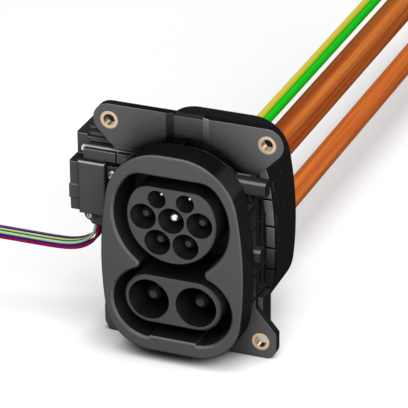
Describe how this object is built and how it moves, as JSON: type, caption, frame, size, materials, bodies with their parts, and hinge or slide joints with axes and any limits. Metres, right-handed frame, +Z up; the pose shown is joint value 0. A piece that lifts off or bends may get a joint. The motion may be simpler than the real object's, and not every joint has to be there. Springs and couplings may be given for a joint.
{
  "type": "charge port inlet",
  "caption": "Vehicle charging inlet for alternating and direct current, with a screw-on flange, a side locking actuator and cable tails.",
  "frame": {"origin": "midway between the two upper fixing holes, on the flange's rear seating face", "axes": "+X to the right seen from the front, +Y into the vehicle, +Z up"},
  "size_m": [0.1714, 0.47, 0.1356],
  "materials": {
    "collar_plastic": "fine moulded texture",
    "flange_plastic": "fine moulded texture",
    "insert_plastic": "fine moulded texture",
    "housing_plastic": "smooth moulded",
    "actuator_plastic": "fine moulded texture",
    "silver_plate": "silver-plated",
    "guard_plastic": "smooth",
    "bushing_brass": "turned",
    "bolt_steel": "ground",
    "screw_steel": "zinc-plated",
    "seal_rubber": "smooth",
    "cable_orange": "satin",
    "cable_earth": "satin, with a yellow stripe",
    "wire_grey": "satin",
    "wire_blue": "satin",
    "wire_cyan": "satin",
    "wire_yellow": "satin",
    "wire_green": "satin",
    "wire_violet": "satin",
    "wire_violet_blue": "satin",
    "wire_red": "satin"
  },
  "bodies": {
    "inlet": {"front_collar": "collar_plastic", "carrier_flange": "flange_plastic", "carrier_neck": "flange_plastic", "fixing_bushings": "bushing_brass", "ac_insert": "insert_plastic", "dc_insert": "insert_plastic", "rear_housing": "housing_plastic", "housing_seal": "seal_rubber", "actuator_housing": "actuator_plastic", "actuator_cover": "actuator_plastic", "actuator_screws": "screw_steel", "wire_outlet": "actuator_plastic", "earth_contact": "silver_plate", "phase_one_contact": "silver_plate", "phase_one_guard": "guard_plastic", "phase_two_contact": "silver_plate", "phase_two_guard": "guard_plastic", "phase_three_contact": "silver_plate", "phase_three_guard": "guard_plastic", "neutral_contact": "silver_plate", "neutral_guard": "guard_plastic", "pilot_contact": "silver_plate", "proximity_contact": "silver_plate", "dc_minus_contact": "silver_plate", "dc_minus_guard": "guard_plastic", "dc_plus_contact": "silver_plate", "dc_plus_guard": "guard_plastic", "earth_cable_seal": "seal_rubber", "earth_seal_cap": "housing_plastic", "earth_cable": "cable_earth", "ac_cable_seal": "seal_rubber", "ac_seal_cap": "housing_plastic", "ac_cable": "cable_orange", "dc_minus_cable_seal": "seal_rubber", "dc_minus_seal_cap": "housing_plastic", "dc_minus_cable": "cable_orange", "dc_plus_cable_seal": "seal_rubber", "dc_plus_seal_cap": "housing_plastic", "dc_plus_cable": "cable_orange", "signal_wire_01": "wire_red", "signal_wire_02": "wire_violet", "signal_wire_03": "wire_violet_blue", "signal_wire_04": "wire_blue", "signal_wire_05": "wire_yellow", "signal_wire_06": "wire_cyan", "signal_wire_07": "wire_green", "signal_wire_08": "wire_yellow", "signal_wire_09": "wire_blue", "signal_wire_10": "wire_grey"},
    "bolt": {"locking_bolt": "bolt_steel"}
  },
  "joints": [
    {"name": "locking_bolt_slide", "type": "slide", "parent": "inlet", "child": "bolt", "axis": [1, 0, 0], "range_m": [0, 0.01]}
  ]
}
